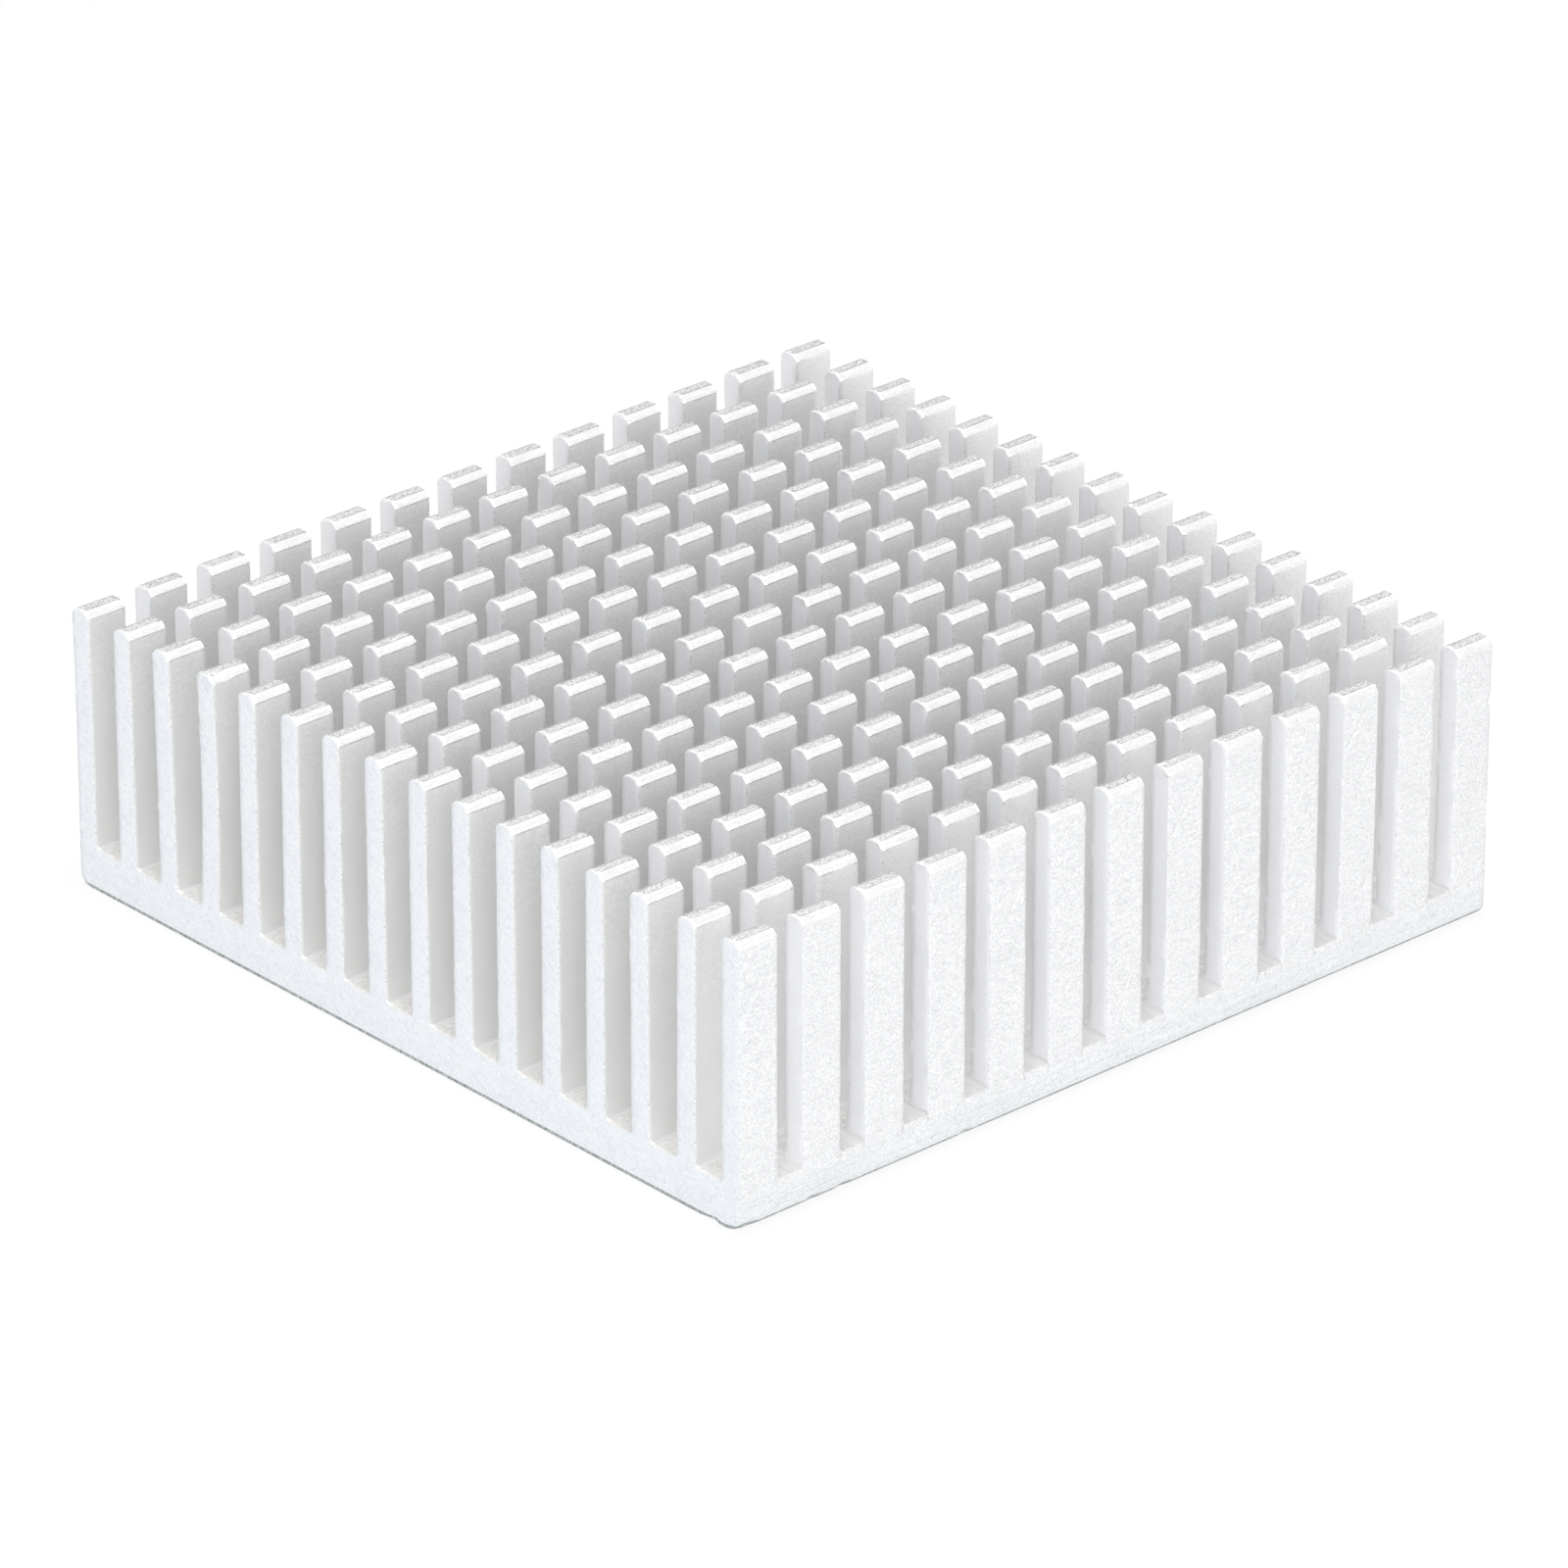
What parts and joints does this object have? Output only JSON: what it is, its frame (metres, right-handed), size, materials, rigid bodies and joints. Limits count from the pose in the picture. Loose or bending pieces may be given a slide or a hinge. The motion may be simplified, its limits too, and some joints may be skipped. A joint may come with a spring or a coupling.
{
  "type": "pin fin heat sink",
  "caption": "Square aluminium heat sink: a flat base under a dense field of thin upright pins, left where long extruded fins are sawn across.",
  "frame": {"origin": "centre of the flat underside", "axes": "+Z out of the base along the pins, X along the extruded fins, Y across them"},
  "size_m": [0.06, 0.06, 0.0185],
  "materials": {
    "bare_aluminium": "bare extruded aluminium, satin on the fin walls, with brighter brushed saw cuts"
  },
  "bodies": {
    "root": {"heat_sink": "bare_aluminium"}
  },
  "joints": []
}
